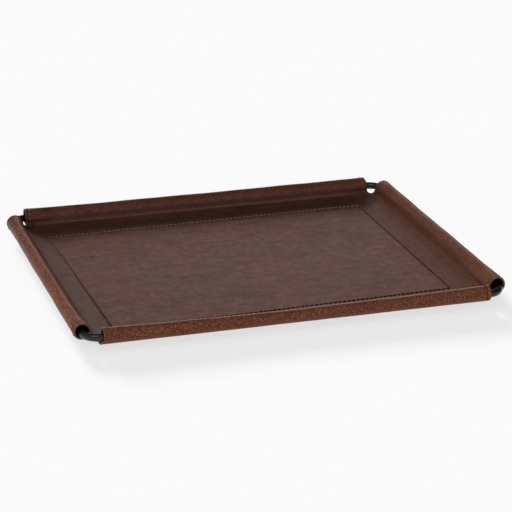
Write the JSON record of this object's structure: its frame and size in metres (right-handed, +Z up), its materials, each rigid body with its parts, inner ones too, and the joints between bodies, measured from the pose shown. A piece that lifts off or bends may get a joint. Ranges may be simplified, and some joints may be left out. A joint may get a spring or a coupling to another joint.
{
  "type": "leather serving tray",
  "caption": "Shallow rectangular serving tray: a bent round-bar frame inside four leather rolls, sewn round a flat stiffened leather floor, with the bar bare at the notched corners.",
  "frame": {"origin": "centre of the tray on the plane that it rests on", "axes": "+X along the long side, -Y towards the front as pictured, +Z up from the floor"},
  "size_m": [0.4516, 0.3816, 0.0264],
  "materials": {
    "leather": "waxed pull-up, satin",
    "lining": "matte",
    "cover": "matte",
    "board": "raw fibreboard",
    "rod": "satin black",
    "thread": "waxed"
  },
  "bodies": {
    "root": {"frame_rod": "rod", "base_board": "board", "base_cover": "cover", "tray_leather": "leather", "front_sleeve_lining": "lining", "back_sleeve_lining": "lining", "left_sleeve_lining": "lining", "right_sleeve_lining": "lining", "front_seam_thread": "thread", "back_seam_thread": "thread", "left_seam_thread": "thread", "right_seam_thread": "thread", "front_sleeve_left_stitch": "thread", "front_sleeve_right_stitch": "thread", "back_sleeve_left_stitch": "thread", "back_sleeve_right_stitch": "thread", "left_sleeve_front_stitch": "thread", "left_sleeve_back_stitch": "thread", "right_sleeve_front_stitch": "thread", "right_sleeve_back_stitch": "thread"}
  },
  "joints": []
}
